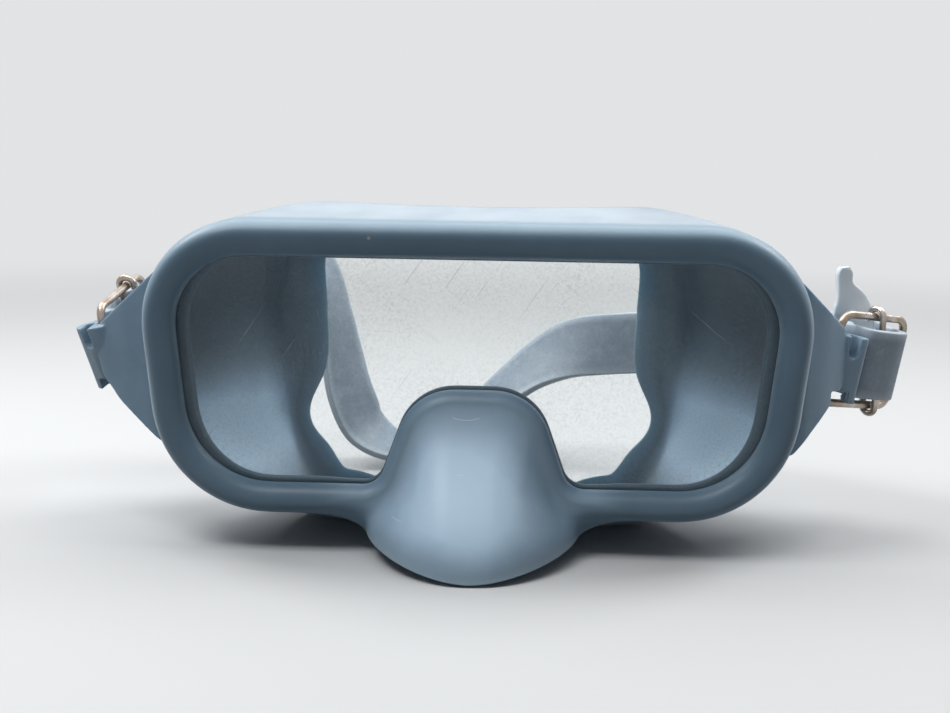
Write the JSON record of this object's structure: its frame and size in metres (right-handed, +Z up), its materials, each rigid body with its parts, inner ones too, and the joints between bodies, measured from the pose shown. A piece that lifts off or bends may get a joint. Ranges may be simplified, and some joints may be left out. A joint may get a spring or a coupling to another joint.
{
  "type": "smoke goggles",
  "caption": "Full-mask goggles: moulded rubber body with a nose pocket and ears, flat clear lens held in a groove, wire friction buckles and a flat rubber head strap",
  "frame": {"origin": "on the flat underside of the nose pocket, below the rim's parting line, in the mirror plane", "axes": "+X to the viewer's right along the width, -Y toward the viewer, out of the front, +Z up"},
  "size_m": [0.2261, 0.1362, 0.088],
  "materials": {
    "body_rubber": "satin moulded rubber",
    "lens_clear": "clear with light wear scratches",
    "buckle_wire": "dull tarnished plating",
    "strap_rubber": "matte rubber band"
  },
  "bodies": {
    "mask": {"mask_body": "body_rubber", "lens": "lens_clear", "head_strap": "strap_rubber"},
    "right_buckle": {"right_buckle_frame": "buckle_wire"},
    "right_crossbar": {"right_buckle_bar": "buckle_wire"},
    "left_buckle": {"left_buckle_frame": "buckle_wire"},
    "left_crossbar": {"left_buckle_bar": "buckle_wire"}
  },
  "joints": [
    {"name": "right_buckle_swing", "type": "hinge", "parent": "mask", "child": "right_buckle", "pos_m": [0.095, 0.022, 0.0472], "axis": [0.1736, 0, 0.9848], "range_deg": [-66, 84], "deforming": ["head_strap"]},
    {"name": "left_buckle_swing", "type": "hinge", "parent": "mask", "child": "left_buckle", "pos_m": [-0.098, 0.0176, 0.0472], "axis": [-0.2532, -0.2079, 0.9448], "range_deg": [-15, 135], "deforming": ["head_strap"]},
    {"name": "right_crossbar_slide", "type": "slide", "parent": "right_buckle", "child": "right_crossbar", "axis": [0.7967, 0.5878, -0.1405], "range_m": [-0.004, 0.0015], "deforming": ["head_strap"]},
    {"name": "left_crossbar_slide", "type": "slide", "parent": "left_buckle", "child": "left_crossbar", "axis": [0.198, 0.9448, 0.261], "range_m": [-0.006, 0.003], "deforming": ["head_strap"]}
  ]
}
